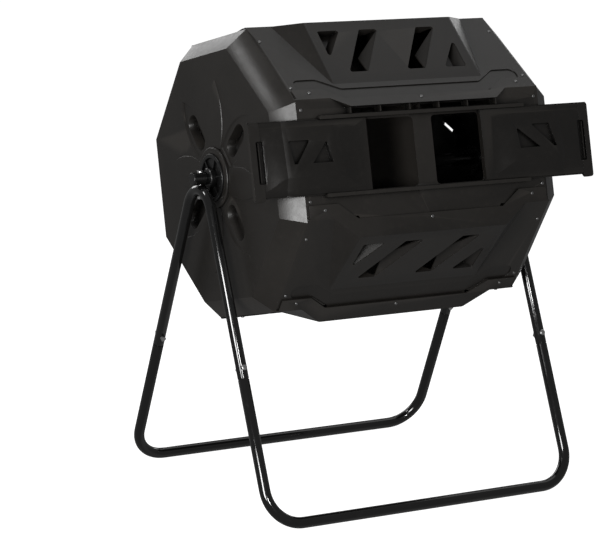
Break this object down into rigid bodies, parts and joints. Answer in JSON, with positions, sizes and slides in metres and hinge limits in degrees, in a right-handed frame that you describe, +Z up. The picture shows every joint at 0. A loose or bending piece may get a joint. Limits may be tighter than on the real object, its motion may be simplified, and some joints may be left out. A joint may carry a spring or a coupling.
{
  "type": "compost tumbler",
  "caption": "Octagonal two-chamber garden composting drum turning on an axle between bent-tube A-frame legs, with sliding doors, louvred side panels and vented end caps.",
  "frame": {"origin": "on the ground, below the middle of the axle", "axes": "+X along the axle to the right-hand end, -Y to the door side, +Z up"},
  "size_m": [0.77, 0.612, 0.9441],
  "materials": {
    "tube_paint": "gloss black powder coat on steel tube",
    "drum_plastic": "satin moulded polypropylene, fine grain",
    "door_plastic": "satin moulded polypropylene, slightly darker",
    "hub_plastic": "smooth semi-gloss moulded plastic",
    "screw_steel": "dull zinc plated",
    "bolt_steel": "bright zinc plated"
  },
  "bodies": {
    "stand": {"left_upper_leg": "tube_paint", "right_upper_leg": "tube_paint", "front_lower_leg": "tube_paint", "rear_lower_leg": "tube_paint", "axle": "tube_paint", "left_axle_plug": "hub_plastic", "right_axle_plug": "hub_plastic", "axle_bolts": "bolt_steel", "axle_nuts": "bolt_steel", "leg_bolts": "bolt_steel", "leg_nuts": "bolt_steel"},
    "drum": {"door_frame_panel": "drum_plastic", "lower_front_panel": "drum_plastic", "bottom_panel": "drum_plastic", "lower_back_panel": "drum_plastic", "back_panel": "drum_plastic", "upper_back_panel": "drum_plastic", "top_panel": "drum_plastic", "upper_front_panel": "drum_plastic", "left_end_cap": "drum_plastic", "right_end_cap": "drum_plastic", "left_hub_bush": "hub_plastic", "right_hub_bush": "hub_plastic", "divider": "drum_plastic", "upper_door_rail": "drum_plastic", "lower_door_rail": "drum_plastic", "seam_screws": "screw_steel", "seam_nuts": "screw_steel", "panel_end_screws": "screw_steel", "panel_end_nuts": "screw_steel"},
    "left_door": {"left_door": "door_plastic"},
    "right_door": {"right_door": "door_plastic"}
  },
  "joints": [
    {"name": "drum_turn", "type": "hinge", "parent": "stand", "child": "drum", "pos_m": [0, 0, 0.64], "axis": [-1, 0, 0], "range_deg": [-50, 205]},
    {"name": "left_door_slide", "type": "slide", "parent": "drum", "child": "left_door", "axis": [-1, 0, 0], "range_m": [-0.108, 0.08]},
    {"name": "right_door_slide", "type": "slide", "parent": "drum", "child": "right_door", "axis": [1, 0, 0], "range_m": [-0.108, 0.08]}
  ]
}
